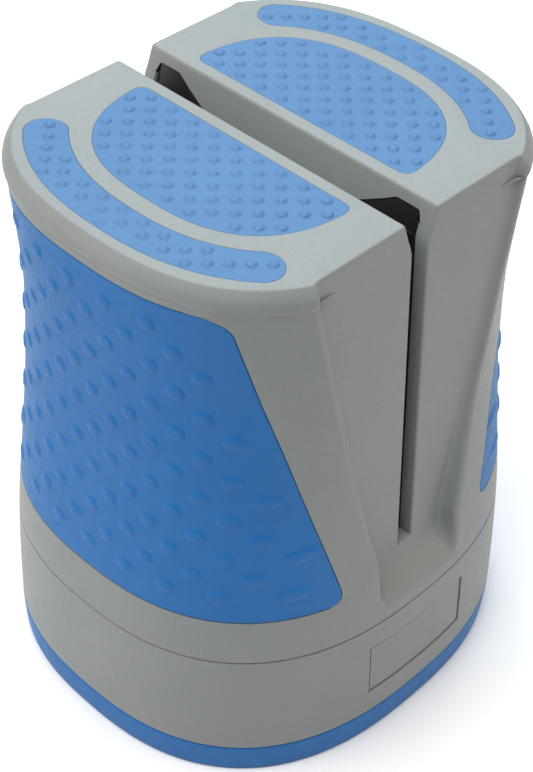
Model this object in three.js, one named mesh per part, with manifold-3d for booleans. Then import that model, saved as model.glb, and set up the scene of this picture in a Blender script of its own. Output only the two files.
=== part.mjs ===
// Skate sharpener: a blade slot between two padded towers, over a sprung hone, on a footed base.
// Millimetres, +Z up, the slot runs along Y. The origin is the centre of the footprint.
import * as THREE from "three";
import { mergeVertices } from "three/addons/utils/BufferGeometryUtils.js";
import Module from "manifold-3d";

const wasm = await Module();
wasm.setup();

// ---------- driving dimensions ----------
const HEIGHT = 135.6;
const GAP = 0.3;             // between pieces that touch
const FOOT_TOP = 8.2;        // top edge of the rubber foot band
const PARTING = 36.6;        // joint between the base housing and the towers
const LIP_BOTTOM = 130.7;    // underside of the top caps' rim
const WALL = 2.4;            // moulded shell thickness
const SKIN = 1.6;            // rubber overmould thickness
const STEP_IN = WALL + GAP + 0.5;   // inset of a part that nests inside a shell wall
const FLOOR = { low: PARTING + 0.2, thick: 3 };

// body stations: height, half width, half depth, squareness of the outline
const STATIONS = [
  [0, 56.0, 51.4, 2.48],
  [FOOT_TOP, 56.4, 52.0, 2.46],
  [PARTING, 55.6, 50.9, 2.45],
  [57, 53.3, 48.8, 2.5],
  [80, 50.9, 46.4, 2.56],
  [103, 50.4, 47.3, 2.35],
  [118, 50.9, 47.9, 2.37],
  [LIP_BOTTOM, 50.7, 47.5, 2.62],
];

const RIM = { halfWidth: 51.1, bulge: 47.9, squareness: 2.63, halfDepth: 41, corner: 1.8, bevel: 1.5 };
const CAP = { flangeX: 7.3, pocketX: 8.1, pocketInset: 3.3, roof: 3 };
const MOUTH = 4.65;          // half width of the funnel at the top
const THROAT = 2.3;          // half width of the slot just under the funnel
const FUNNEL_BOTTOM = 128;
const SLOT = { bottom: 49.3, halfWidth: 2.1, linerThick: 2.7 };
const PANEL = { topY: 40.5, lean: 0.0475, thick: 3.2 };
const RIDGE = { footX: 12.5, kneeZ: 52.6, kneeX: 12.7, topZ: 130, topX: 30.2, step: 1.2 };
const GRIP = { bottom: 48.5, top: 128.9, baseX: 23.9, baseZ: 55.8, slope: 0.261 };
const DPAD = { inX: 7.65, centreX: 5.2, outX: 34.2, halfY: 30, squareness: 2.6 };
const ARCPAD = { halfWidth: 50.3, bulge: 50.6, squareness: 2.35, outerInset: 3.3, innerInset: 12, halfY: 34 };
const INNER_WALL = { x: 5.3, thick: 2.3, low: 59 };
const BADGE = { halfWidth: 15.7, low: 15.2, high: 30, depth: 0.8 };
const WINDOW = { low: 21, kneeY: 28, kneeZ: 131.2, rise: 30.8, end: 36.6, top: 132.9 };

const ROD = { radius: 6.35, half: 28, journal: 2.9, journalHalf: 30.8, crest: 51 };
const ROD_Z = ROD.crest - ROD.radius;
const CARRIAGE = { halfX: 8.5, low: 30, high: 46 };
const CLIP = { halfX: 7, low: 31, high: 49, thick: 2, holeZ: 34, holeRadius: 1.4 };
const CHASSIS = {
  innerX: 8.8, wall: 2.5, halfY: 36, floorLow: 12.5, floorHigh: 15, high: 48.6, mouthX: 7.4,
};
const SPRING = { y: 18, radius: 4.6, wire: 0.6, turns: 5, postRadius: 3, postTop: 24 };
const BASE_SCREW = { x: 36, y: 29, seat: 1.2, head: 3.3, headHigh: 1.9, shank: 1.25, length: 20 };
const CHASSIS_SCREW = { x: 15.8, y: 27, seat: 31.5, head: 2.6, headHigh: 1.6, shank: 1.1, length: 6 };
const TOWER_SCREW = { x: 7, y: 39.6, seat: 34.6, head: 2.6, headHigh: 1.8, shank: 1.1, length: 10 };
const POST = { radius: 3.1, top: 60 };
const BOSS = { radius: 4, low: 9, pilot: 1.6, pilotTop: 26 };
const CLEARANCE = 0.5;       // between a screw shank and a through hole
const PLATE = { low: 3.4, high: 5.9 };

// ---------- helpers ----------
// smooth interpolation between the body stations
function station(z, column) {
  const last = STATIONS.length - 1;
  let i = 0;
  while (i < last - 1 && z > STATIONS[i + 1][0]) i++;
  const slope = (k) => {
    const a = STATIONS[Math.max(k - 1, 0)];
    const b = STATIONS[Math.min(k + 1, last)];
    return (b[column] - a[column]) / (b[0] - a[0]);
  };
  const p = STATIONS[i];
  const q = STATIONS[i + 1];
  const h = q[0] - p[0];
  const t = Math.min(Math.max((z - p[0]) / h, 0), 1);
  const t2 = t * t;
  const t3 = t2 * t;
  return p[column] * (2 * t3 - 3 * t2 + 1) + q[column] * (3 * t2 - 2 * t3)
    + slope(i) * h * (t3 - 2 * t2 + t) + slope(i + 1) * h * (t3 - t2);
}

// a point of a rounded-square outline with half sizes a and b
function outlinePoint(angle, a, b, n) {
  const c = Math.cos(angle);
  const s = Math.sin(angle);
  return [a * Math.sign(c) * Math.abs(c) ** (2 / n), b * Math.sign(s) * Math.abs(s) ** (2 / n)];
}

// a point of the body outline at an angle, moved inward by an offset
function bodyPoint(angle, offset, z) {
  return outlinePoint(angle, station(z, 1) - offset, station(z, 2) - offset, station(z, 3));
}

// the whole outline at a height, moved inward by an offset
function bodyOutline(offset, z, steps = 44) {
  return Array.from({ length: steps }, (_, i) => bodyPoint((2 * Math.PI * i) / steps, offset, z));
}

// angle at which the offset outline reaches a given x
function angleAtX(x, offset, z) {
  const a = station(z, 1) - offset;
  return Math.acos(Math.min(x / a, 1) ** (station(z, 3) / 2));
}

const ridgeX = (z) => (z < RIDGE.kneeZ
  ? RIDGE.footX + (RIDGE.kneeX - RIDGE.footX) * (z - PARTING) / (RIDGE.kneeZ - PARTING)
  : RIDGE.kneeX + (RIDGE.topX - RIDGE.kneeX) * (z - RIDGE.kneeZ) / (RIDGE.topZ - RIDGE.kneeZ));
const gripX = (z) => GRIP.baseX + GRIP.slope * (z - GRIP.baseZ);
const panelY = (z) => PANEL.topY + PANEL.lean * (HEIGHT - z);

function warp(geometry, move) {
  const p = geometry.attributes.position;
  const v = new THREE.Vector3();
  for (let i = 0; i < p.count; i++) {
    v.fromBufferAttribute(p, i);
    move(v);
    p.setXYZ(i, v.x, v.y, v.z);
  }
  return geometry;
}

function closed(geometry) {
  const g = geometry.clone();
  g.deleteAttribute("normal");
  g.deleteAttribute("uv");
  return mergeVertices(g, 1e-4);
}

function mirrored(geometry) {
  const g = closed(geometry).scale(-1, 1, 1);
  const index = g.index.array;
  for (let i = 0; i < index.length; i += 3) [index[i], index[i + 1]] = [index[i + 1], index[i]];
  return g;
}

function solid(geometry) {
  const g = closed(geometry);
  return new wasm.Manifold(new wasm.Mesh({
    numProp: 3,
    vertProperties: new Float32Array(g.attributes.position.array),
    triVerts: new Uint32Array(g.index.array),
  }));
}

function fromSolid(body) {
  const mesh = body.getMesh();
  const g = new THREE.BufferGeometry();
  g.setAttribute("position", new THREE.BufferAttribute(new Float32Array(mesh.vertProperties), 3));
  g.setIndex(new THREE.BufferAttribute(new Uint32Array(mesh.triVerts), 1));
  return g;
}

const join = (...geometries) => geometries.map(solid).reduce((a, b) => a.add(b));
const cut = (body, ...geometries) => geometries.map(solid).reduce((a, b) => a.subtract(b), body);

function box(x0, x1, y0, y1, z0, z1) {
  return new THREE.BoxGeometry(x1 - x0, y1 - y0, z1 - z0)
    .translate((x0 + x1) / 2, (y0 + y1) / 2, (z0 + z1) / 2);
}

// a vertical round bar
function bar(radius, z0, z1, x = 0, y = 0, sides = 16) {
  return new THREE.CylinderGeometry(radius, radius, z1 - z0, sides)
    .rotateX(Math.PI / 2).translate(x, y, (z0 + z1) / 2);
}

function shapeOf(points) {
  return new THREE.Shape(points.map(([x, y]) => new THREE.Vector2(x, y)));
}

// a prism standing on z0
function prism(shape, z0, z1, curveSegments = 5) {
  return new THREE.ExtrudeGeometry(shape, { depth: z1 - z0, bevelEnabled: false, curveSegments })
    .translate(0, 0, z0);
}

// a prism whose outline is drawn in X and Z, running along Y
function prismY(points, y0, y1) {
  return prism(shapeOf(points), -y1, -y0).rotateX(Math.PI / 2);
}

// a prism whose outline is drawn in Y and Z, running along X
function prismX(points, x0, x1) {
  return prism(shapeOf(points), x0, x1).applyMatrix4(
    new THREE.Matrix4().makeBasis(
      new THREE.Vector3(0, 1, 0), new THREE.Vector3(0, 0, 1), new THREE.Vector3(1, 0, 0)));
}

// a closed ring that follows the body outline; the profile gives inward offset and height
function bodyRing(profile, segments = 48) {
  const reach = 40;
  const points = [...profile, profile[0]].reverse()
    .map(([offset, z]) => new THREE.Vector2(reach - offset, z));
  const lathe = new THREE.LatheGeometry(points, segments).rotateX(Math.PI / 2);
  return warp(lathe, (v) => {
    const angle = Math.atan2(v.y, v.x);
    const offset = reach - Math.hypot(v.x, v.y);
    [v.x, v.y] = bodyPoint(angle, offset, v.z);
  });
}

// a curved wall of one tower between two heights; span(z, offset) gives its half angle
function bodyWall(offset0, offset1, z0, z1, span, columns = 18, rows = 7) {
  const block = new THREE.BoxGeometry(2, 1, 1, columns, 1, rows);
  return warp(block, (v) => {
    const z = z0 + (v.z + 0.5) * (z1 - z0);
    const offset = offset1 + (v.y + 0.5) * (offset0 - offset1);
    [v.x, v.y] = bodyPoint(-v.x * span(z, offset), offset, z);
    v.z = z;
  });
}

// ---------- outlines ----------
const angleAtY = (y, b, n) => Math.asin((y / b) ** (n / 2));

// points of a curved rim between two depths, on the side where x is positive
function rimCurve({ halfWidth, bulge, squareness }, inset, halfY, steps) {
  const a = halfWidth - inset;
  const b = bulge - inset;
  const end = angleAtY(halfY, b, squareness);
  const points = [];
  for (let i = 0; i <= steps; i++) {
    points.push(outlinePoint(-end + (2 * end * i) / steps, a, b, squareness));
  }
  return points;
}

// one half of the top, from the slot side out to the curved rim
function rimShape(inset, slotX) {
  const depth = RIM.halfDepth - inset;
  const curve = rimCurve(RIM, inset, depth - RIM.corner, 24);
  const cornerX = rimCurve(RIM, inset, depth, 1)[0][0];
  const shape = new THREE.Shape();
  shape.moveTo(slotX, depth);
  shape.lineTo(slotX, -depth);
  shape.lineTo(cornerX - RIM.corner, -depth);
  shape.quadraticCurveTo(cornerX, -depth, ...curve[0]);
  for (const [x, y] of curve.slice(1)) shape.lineTo(x, y);
  shape.quadraticCurveTo(cornerX, depth, cornerX - RIM.corner, depth);
  return shape;
}

function palmPadShape(grow) {
  const reach = DPAD.outX - DPAD.centreX + grow;
  const half = DPAD.halfY + grow;
  const straight = DPAD.inX - grow;
  const start = Math.acos(((straight - DPAD.centreX) / reach) ** (DPAD.squareness / 2));
  const steps = 18;
  const points = [];
  for (let i = 0; i <= steps; i++) {
    const angle = -start + (2 * start * i) / steps;
    const s = Math.sin(angle);
    points.push([
      DPAD.centreX + reach * Math.cos(angle) ** (2 / DPAD.squareness),
      half * Math.sign(s) * Math.abs(s) ** (2 / DPAD.squareness),
    ]);
  }
  return shapeOf(points);
}

function arcPadShape(grow) {
  const outer = rimCurve(ARCPAD, ARCPAD.outerInset - grow, ARCPAD.halfY - 3 + grow, 16);
  const inner = rimCurve(ARCPAD, ARCPAD.innerInset + grow, ARCPAD.halfY - 7 + grow, 14).reverse();
  const shape = new THREE.Shape();
  shape.moveTo(...outer[0]);
  for (const [x, y] of outer.slice(1)) shape.lineTo(x, y);
  const tip = ARCPAD.halfY + 1 + grow;
  const tipX = (outer[0][0] + inner[0][0]) / 2;
  shape.quadraticCurveTo(tipX, tip, ...inner[0]);
  for (const [x, y] of inner.slice(1)) shape.lineTo(x, y);
  shape.quadraticCurveTo(tipX, -tip, ...outer[0]);
  return shape;
}

// ears of the liner that rise into the funnel near each end, drawn in Y and Z
function earOutline(grow) {
  const foot = FUNNEL_BOTTOM - 8;
  const top = WINDOW.top + grow;
  const low = FUNNEL_BOTTOM - GAP + grow;
  const start = WINDOW.low - grow;
  const knee = [WINDOW.kneeY - grow, WINDOW.kneeZ + grow / 2];
  return [[start, foot], [start, low], knee, [WINDOW.rise - grow, top],
    [WINDOW.end + grow, top], [WINDOW.end + grow, foot]];
}
const flipY = (points) => points.map(([y, z]) => [-y, z]).reverse();

const FUNNEL = [[-THROAT, FUNNEL_BOTTOM], [THROAT, FUNNEL_BOTTOM], [MOUTH, HEIGHT + 0.01],
  [MOUTH, HEIGHT + 2], [-MOUTH, HEIGHT + 2], [-MOUTH, HEIGHT + 0.01]];

// ---------- outer pieces ----------
function towerCap() {
  const { bevel } = RIM;
  const shell = new THREE.ExtrudeGeometry(rimShape(0, THROAT), {
    depth: HEIGHT - LIP_BOTTOM - 2 * bevel, bevelEnabled: true, bevelThickness: bevel,
    bevelSize: bevel, bevelOffset: -bevel, bevelSegments: 2, curveSegments: 4,
  }).translate(0, 0, LIP_BOTTOM + bevel);
  const flange = box(THROAT, CAP.flangeX, -PANEL.topY + 1, PANEL.topY - 1, FUNNEL_BOTTOM, HEIGHT - 0.5);
  const pocket = prism(rimShape(CAP.pocketInset, CAP.pocketX), LIP_BOTTOM - 1, HEIGHT - CAP.roof);
  const recesses = [
    prism(palmPadShape(GAP), HEIGHT - SKIN - GAP, HEIGHT + 1),
    prism(arcPadShape(GAP), HEIGHT - SKIN - GAP, HEIGHT + 1),
  ];
  return cut(join(shell, flange), pocket, ...recesses);
}

// stands a flat outline, drawn in X and Z, up as a plate that leans with the end panels
function leaningPlate(outline) {
  return warp(prismY(outline, -1, 0), (v) => {
    v.y = -panelY(v.z) + (v.y + 1) * PANEL.thick;
  });
}

const panelEdge = (z) => ridgeX(z) - RIDGE.step - GAP;

// one half of the leaning V-shaped end panel, beside the blade slot
function endPanel() {
  const top = HEIGHT - 2.5;
  const knee = RIDGE.kneeZ;
  const low = SLOT.bottom + GAP;
  return leaningPlate([[SLOT.halfWidth, low], [panelEdge(low), low], [panelEdge(knee), knee],
    [panelEdge(top), top], [THROAT, top], [THROAT, FUNNEL_BOTTOM]]);
}

// the part of the end panel under the blade slot
function slotBridge() {
  const { low } = FLOOR;
  const high = SLOT.bottom;
  return leaningPlate([[-panelEdge(low), low], [panelEdge(low), low],
    [panelEdge(high), high], [-panelEdge(high), high]]);
}

// the sloping foot of the V, from the panel out to the base's face
function scoop() {
  const { low } = FLOOR;
  const top = SLOT.bottom - 1.3;
  const front = -station(low, 2) + 0.5;
  const x = ridgeX(low) - RIDGE.step - 2 * GAP;
  const y = (z) => -panelY(z);
  return prismX([[y(low) + PANEL.thick, low], [front, low], [front, low + 1.5],
    [front + 3.2, low + 4.5], [y(top) - 0.2, top], [y(top) + PANEL.thick, top]].reverse(), -x, x);
}

function deckFloor() {
  const shape = shapeOf(bodyOutline(STEP_IN, FLOOR.low + FLOOR.thick));
  const x = CHASSIS.innerX + CHASSIS.wall + GAP;
  const y = CHASSIS.halfY + GAP;
  shape.holes.push(new THREE.Path([[-x, -y], [-x, y], [x, y], [x, -y]]
    .map(([a, b]) => new THREE.Vector2(a, b))));
  return prism(shape, FLOOR.low, FLOOR.low + FLOOR.thick);
}

// posts that hang under the deck for the base screws
const deckBosses = () => screwPlaces(BASE_SCREW)
  .map(([x, y]) => bar(BOSS.radius, BOSS.low, PARTING + 1, x, y));

// the wall behind a blade liner, tied to the cap and to both end panels
function innerWall() {
  const reach = (z) => panelY(z) - 2;
  const high = HEIGHT - CAP.roof + 0.8;
  const outline = [[-reach(INNER_WALL.low), INNER_WALL.low], [reach(INNER_WALL.low), INNER_WALL.low],
    [reach(high), high], [-reach(high), high]];
  return prismX(outline, INNER_WALL.x, INNER_WALL.x + INNER_WALL.thick);
}

// one tower's skeleton: cap, inner wall, both end panel halves and the feet for its screws
function towerFrame() {
  const feet = [-TOWER_SCREW.y, TOWER_SCREW.y]
    .map((y) => bar(POST.radius, FLOOR.low + FLOOR.thick + GAP, POST.top, TOWER_SCREW.x, y));
  const backPanel = fromSolid(solid(mirrored(endPanel()))).rotateZ(Math.PI);
  const frame = towerCap().add(join(innerWall(), endPanel(), backPanel, ...feet));
  const window = THROAT + SLOT.linerThick + GAP;
  const ears = [earOutline(GAP), flipY(earOutline(GAP))].map((points) => prismX(points, 0, window));
  const pilots = [-TOWER_SCREW.y, TOWER_SCREW.y]
    .map((y) => bar(TOWER_SCREW.shank + GAP, FLOOR.low, SLOT.bottom, TOWER_SCREW.x, y, 10));
  return fromSolid(cut(frame, prismY(FUNNEL, -50, 50), ...ears, ...pilots));
}

// what both towers and the base stand on or hang from: floor, slot ends and scoops
function deck() {
  const ends = join(slotBridge(), scoop());
  const backEnds = solid(fromSolid(ends).rotateZ(Math.PI));
  const body = solid(deckFloor()).add(ends).add(backEnds).add(join(...deckBosses()));
  const pilots = [
    ...screwPlaces(BASE_SCREW).map(([x, y]) => bar(BOSS.pilot, BOSS.low - 1, BOSS.pilotTop, x, y, 10)),
    ...screwPlaces(CHASSIS_SCREW)
      .map(([x, y]) => bar(CHASSIS_SCREW.shank + GAP, FLOOR.low - 1, FLOOR.low + 4, x, y, 10)),
    ...screwPlaces(TOWER_SCREW)
      .map(([x, y]) => bar(TOWER_SCREW.shank + CLEARANCE, FLOOR.low - 1, FLOOR.low + 4, x, y, 10)),
  ];
  const feet = screwPlaces(TOWER_SCREW)
    .map(([x, y]) => bar(POST.radius + GAP, FLOOR.low + FLOOR.thick, SLOT.bottom + 1, x, y));
  const corners = screwPlaces({ x: ridgeX(PARTING) + 0.9, y: 50 })
    .map(([x, y]) => box(x - 2.4, x + 2.4, y - 8.4, y + 8.4, FLOOR.low - 1, FLOOR.low + 5));
  return fromSolid(cut(body, ...pilots, ...feet, ...corners));
}

// curved tower side with a turned-in edge along the V and a pocket for the grip
function sideShell() {
  const { low } = FLOOR;
  const high = LIP_BOTTOM - GAP;
  const wall = bodyWall(0, WALL, low, high, (z, offset) => angleAtX(ridgeX(z), offset, z), 24, 8);
  const edges = [-1, 1].map((side) => warp(new THREE.BoxGeometry(1, 1, 1, 1, 1, 8), (v) => {
    const z = low + (v.z + 0.5) * (high - low);
    const x = ridgeX(z);
    const outer = Math.abs(bodyPoint(angleAtX(x, 0, z), 0, z)[1]);
    const face = v.x > 0 ? outer - WALL / 2 : panelY(z);
    const front = v.y * side > 0;
    v.y = side * (front ? face : panelY(z) - PANEL.thick);
    v.x = v.x > 0 ? x + WALL : x - RIDGE.step;
    v.z = z;
  }));
  const pocket = bodyWall(-2, SKIN + GAP, GRIP.bottom - GAP, GRIP.top + GAP,
    (z, offset) => angleAtX(gripX(z) - GAP, offset, z));
  return fromSolid(cut(join(wall, ...edges), pocket));
}

function sideGrip() {
  return bodyWall(0, SKIN, GRIP.bottom, GRIP.top, (z, offset) => angleAtX(gripX(z), offset, z));
}

const padOn = (shape) => prism(shape, HEIGHT - SKIN, HEIGHT);

// base housing: a tapered wall, stepped in at the bottom for the foot band
function lowerHousing() {
  const floor = PLATE.high + GAP;
  const flange = 16;
  const ring = bodyRing([
    [0, FOOT_TOP + GAP], [STEP_IN, FOOT_TOP + GAP], [STEP_IN, floor], [flange, floor],
    [flange, floor + WALL], [STEP_IN + WALL, floor + WALL], [STEP_IN + WALL, floor + 2 * WALL],
    [WALL, floor + 2 * WALL + 1.5], [WALL, PARTING - 0.1], [0, PARTING - 0.1],
  ]);
  const reach = station(BADGE.low, 2);
  const badge = box(-BADGE.halfWidth, BADGE.halfWidth, -reach - 5, -reach + BADGE.depth + 0.6,
    BADGE.low, BADGE.high);
  const holes = screwPlaces(BASE_SCREW)
    .map(([x, y]) => bar(BOSS.radius + 0.4, floor - 1, floor + 7, x, y));
  return fromSolid(cut(solid(ring), badge, ...holes));
}

// L-shaped rubber band that wraps the bottom edge
function footBand() {
  const back = WALL + 0.4;
  const ledge = PLATE.low - GAP;
  return bodyRing([[0, 0.8], [0.8, 0], [7, 0], [7, ledge], [back, ledge], [back, FOOT_TOP],
    [0, FOOT_TOP]]);
}

function basePlate() {
  const { low, high } = PLATE;
  const plate = prism(shapeOf(bodyOutline(WALL + 4, low)), low, high);
  const holes = screwPlaces(BASE_SCREW)
    .map(([x, y]) => bar(BASE_SCREW.shank + CLEARANCE, low - 1, high + 1, x, y));
  return fromSolid(cut(solid(plate), ...holes));
}

// a screw standing up from its head
function screw({ head, headHigh, shank, length }) {
  const points = [[0, 0], [head, 0], [head, headHigh], [shank, headHigh],
    [shank, headHigh + length], [0, headHigh + length + shank]];
  return new THREE.LatheGeometry(points.map(([r, z]) => new THREE.Vector2(r, z)), 12)
    .rotateX(Math.PI / 2);
}

// ---------- inner pieces ----------
// black strip that guides the blade, with ears that rise into the funnel
function slotLiner() {
  const low = ROD.crest + 1.5;
  const back = THROAT + SLOT.linerThick;
  const ear = earOutline(0);
  const plate = box(THROAT, back, -WINDOW.end, WINDOW.end, low, FUNNEL_BOTTOM - GAP);
  const ears = [ear, flipY(ear)].map((points) => prismX(points, THROAT + 0.02, back - 0.02));
  const slope = prismY(FUNNEL.map(([x, z]) => [x + Math.sign(x) * GAP, z]), -50, 50);
  return fromSolid(cut(join(plate, ...ears), slope));
}

// open-topped cradle that hangs under the frame's floor and guides the hone carriage
function chassis() {
  const { innerX, wall, halfY, floorLow, floorHigh, high, mouthX } = CHASSIS;
  const inner = halfY - wall;
  const lug = { low: 33.4, high: PARTING - 0.1, x: 20, y: 33, inY: 20 };
  const outer = box(-innerX - wall, innerX + wall, -halfY, halfY, floorLow, high);
  const well = box(-innerX, innerX, -inner, inner, floorHigh, CARRIAGE.high + GAP);
  const mouth = box(-mouthX, mouthX, -inner + 0.05, inner - 0.05, CARRIAGE.high, high + 1);
  const lugs = box(-lug.x, lug.x, -lug.y, lug.y, lug.low, lug.high);
  const middle = box(-lug.x - 1, lug.x + 1, -lug.inY, lug.inY, lug.low - 1, lug.high + 1);
  const body = solid(outer).add(cut(solid(lugs), middle));
  const posts = [-SPRING.y, SPRING.y]
    .map((y) => bar(SPRING.postRadius, floorHigh - 1, SPRING.postTop, 0, y));
  const holes = screwPlaces(CHASSIS_SCREW)
    .map(([x, y]) => bar(CHASSIS_SCREW.shank + CLEARANCE, lug.low - 1, lug.high + 1, x, y));
  return fromSolid(cut(body, well, mouth, ...holes).add(join(...posts)));
}

// block that carries the hone and rides up and down in the chassis
function honeCarriage() {
  const { halfX, low, high } = CARRIAGE;
  const block = box(-halfX, halfX, -ROD.half, ROD.half, low, high);
  const groove = new THREE.CylinderGeometry(ROD.radius + GAP, ROD.radius + GAP, 80, 32)
    .translate(0, 0, ROD_Z);
  const slot = box(-ROD.radius - GAP + 0.1, ROD.radius + GAP - 0.1, -40, 40, ROD_Z, high + 1);
  return fromSolid(cut(solid(block), groove, slot));
}

function honeRod() {
  const { radius, half, journal, journalHalf } = ROD;
  const end = half - GAP;
  const side = [[0, -journalHalf], [journal, -journalHalf], [journal, -end], [radius - 0.5, -end],
    [radius, -end + 0.5]];
  const profile = [...side, ...side.map(([r, y]) => [r, -y]).reverse()];
  return new THREE.LatheGeometry(profile.map(([r, y]) => new THREE.Vector2(r, y)), 32)
    .translate(0, 0, ROD_Z);
}

// end plate of the carriage with the bearing hole for the hone's journal
function honeClip() {
  const { halfX, low, high, thick, holeZ, holeRadius } = CLIP;
  const plate = box(-halfX, halfX, -ROD.half - GAP - thick, -ROD.half - GAP, low, high);
  const bore = ROD.journal + 0.15;
  const bearing = new THREE.CylinderGeometry(bore, bore, 8, 32).translate(0, -ROD.half - 1, ROD_Z);
  const hole = new THREE.CylinderGeometry(holeRadius, holeRadius, 8, 12)
    .translate(0, -ROD.half - 1, holeZ);
  return fromSolid(cut(solid(plate), bearing, hole));
}

class Coil extends THREE.Curve {
  getPoint(t, target = new THREE.Vector3()) {
    const angle = 2 * Math.PI * SPRING.turns * t;
    const low = CHASSIS.floorHigh + GAP + SPRING.wire;
    const high = CARRIAGE.low - GAP - SPRING.wire;
    return target.set(SPRING.radius * Math.cos(angle), SPRING.radius * Math.sin(angle),
      low + (high - low) * t);
  }
}

function carriageSpring() {
  const wire = new THREE.Shape().absarc(0, 0, SPRING.wire, 0, 2 * Math.PI, false);
  return new THREE.ExtrudeGeometry(wire, {
    steps: SPRING.turns * 10, curveSegments: 3, extrudePath: new Coil(), bevelEnabled: false,
  });
}

// the four corners of a screw pattern
function screwPlaces({ x, y }) {
  return [[-x, -y], [x, -y], [x, y], [-x, y]];
}

// ---------- assembly ----------
const GREY = { color: 0x8f9794, roughness: 0.5 };
const BLUE = { color: 0x4583c4, roughness: 0.62 };
const BLACK = { color: 0x17181a, roughness: 0.35 };
const STEEL = { color: 0xb9bcc0, roughness: 0.3, metalness: 0.9 };
const HONE = { color: 0x6f7276, roughness: 0.75, metalness: 0.6 };

const sharpener = new THREE.Group();
function piece(name, geometry, finish, x = 0, y = 0, z = 0) {
  const mesh = new THREE.Mesh(geometry, new THREE.MeshStandardMaterial(finish));
  mesh.name = name;
  mesh.position.set(x, y, z);
  sharpener.add(mesh);
}

piece("deck", deck(), GREY);
piece("lower_housing", lowerHousing(), GREY);
piece("foot_band", footBand(), BLUE);
piece("base_plate", basePlate(), BLACK);

const towerPieces = {
  tower_frame: [towerFrame(), GREY],
  side_shell: [sideShell(), GREY],
  side_grip: [sideGrip(), BLUE],
  palm_pad: [padOn(palmPadShape(0)), BLUE],
  arc_pad: [padOn(arcPadShape(0)), BLUE],
  slot_liner: [slotLiner(), BLACK],
};
for (const [name, [geometry, finish]] of Object.entries(towerPieces)) {
  piece(`${name}_right`, geometry, finish);
  piece(`${name}_left`, mirrored(geometry), finish);
}

piece("chassis", chassis(), BLACK);
piece("hone_carriage", honeCarriage(), BLACK);
piece("hone_rod", honeRod(), HONE);
const clip = honeClip();
piece("hone_clip_front", clip, STEEL);
piece("hone_clip_back", clip.clone().rotateZ(Math.PI), STEEL);
piece("carriage_spring_front", carriageSpring(), STEEL, 0, -SPRING.y);
piece("carriage_spring_back", carriageSpring(), STEEL, 0, SPRING.y);

screwPlaces(BASE_SCREW).forEach(([x, y], i) =>
  piece(`base_screw_${i + 1}`, screw(BASE_SCREW), STEEL, x, y, BASE_SCREW.seat));
screwPlaces(TOWER_SCREW).forEach(([x, y], i) =>
  piece(`tower_screw_${i + 1}`, screw(TOWER_SCREW), STEEL, x, y, TOWER_SCREW.seat));
screwPlaces(CHASSIS_SCREW).forEach(([x, y], i) =>
  piece(`chassis_screw_${i + 1}`, screw(CHASSIS_SCREW), STEEL, x, y, CHASSIS_SCREW.seat));

export default sharpener;
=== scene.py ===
"""Looks of the skate sharpener: fine moulded shells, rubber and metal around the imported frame.

Lengths are in millimetres until a mesh is made, which turns them into metres. The frame is the CAD one:
+Z up out of the slot, the slot along Y, the origin under the middle of the foot.
"""
import math

import bmesh
import bpy
import numpy as np
from mathutils import Matrix, Vector
from mathutils.geometry import delaunay_2d_cdt


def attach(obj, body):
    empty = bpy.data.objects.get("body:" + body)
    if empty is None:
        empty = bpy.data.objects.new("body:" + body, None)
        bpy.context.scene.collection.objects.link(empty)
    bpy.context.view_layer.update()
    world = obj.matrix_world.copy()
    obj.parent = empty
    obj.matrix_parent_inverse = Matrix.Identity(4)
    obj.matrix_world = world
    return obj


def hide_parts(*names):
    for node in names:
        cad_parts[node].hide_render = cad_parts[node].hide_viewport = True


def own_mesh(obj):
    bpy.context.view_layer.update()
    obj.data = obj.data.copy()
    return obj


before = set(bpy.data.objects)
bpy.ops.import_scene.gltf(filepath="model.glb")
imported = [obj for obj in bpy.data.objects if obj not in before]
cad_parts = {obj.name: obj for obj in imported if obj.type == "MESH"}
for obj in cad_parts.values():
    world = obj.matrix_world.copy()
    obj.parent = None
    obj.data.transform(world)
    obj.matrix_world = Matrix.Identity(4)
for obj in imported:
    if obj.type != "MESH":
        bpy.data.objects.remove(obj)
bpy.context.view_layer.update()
MM = 0.001

# ---------- driving dimensions ----------
# They are the CAD's, apart from the end panel's thickness, which is less here so that the blade guides show.
HEIGHT = 135.6
FOOT_TOP = 8.2
PARTING = 36.6
LIP_BOTTOM = 130.7
SKIN = 1.5
# body stations: height, half width, half depth, squareness of the outline
STATIONS = np.array([
    [0, 56.0, 51.4, 2.48],
    [FOOT_TOP, 56.4, 52.0, 2.46],
    [PARTING, 55.6, 50.9, 2.45],
    [57, 53.3, 48.8, 2.5],
    [80, 50.9, 46.4, 2.56],
    [103, 50.4, 47.3, 2.35],
    [118, 50.9, 47.9, 2.37],
    [LIP_BOTTOM, 50.7, 47.5, 2.62],
])
RIM = {"half_width": 51.1, "bulge": 47.9, "squareness": 2.63}
MOUTH, THROAT, FUNNEL_BOTTOM = 4.65, 2.3, 128.0
SLOT = {"bottom": 49.3, "half": 2.1}
PANEL = {"top_y": 40.5, "lean": 0.0475, "thick": 2.8}
RIDGE = {"foot_x": 12.5, "knee_z": 52.6, "knee_x": 12.7, "top_z": 130.0, "top_x": 30.2, "step": 1.2}
GRIP = {"bottom": 48.5, "top": 128.9, "base_x": 23.9, "base_z": 55.8, "slope": 0.261, "corner": 4.0}
DPAD = {"in_x": 7.65, "centre_x": 5.2, "out_x": 34.2, "half_y": 30.0, "squareness": 2.6, "corner": 2.2}
ARCPAD = {"half_width": 50.3, "bulge": 50.6, "squareness": 2.35, "outer": 3.3, "inner": 12.0, "tip_y": 33.6}
LABEL = {"half_x": 15.7, "low": 15.2, "high": 30.0, "groove": 0.5, "deep": 0.8, "sink": 0.25}
SCOOP = {"top": 48.5, "foot": 39.5}
WINDOW = {"low": 21.0, "knee_y": 28.0, "knee_z": 131.2, "rise": 30.8, "end": 36.6, "top": 132.9}
WALL = 2.0
EDGE = 0.3                  # rounding of the base's edges
SEAM = 0.1                  # half of the gap at the parting line
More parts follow.
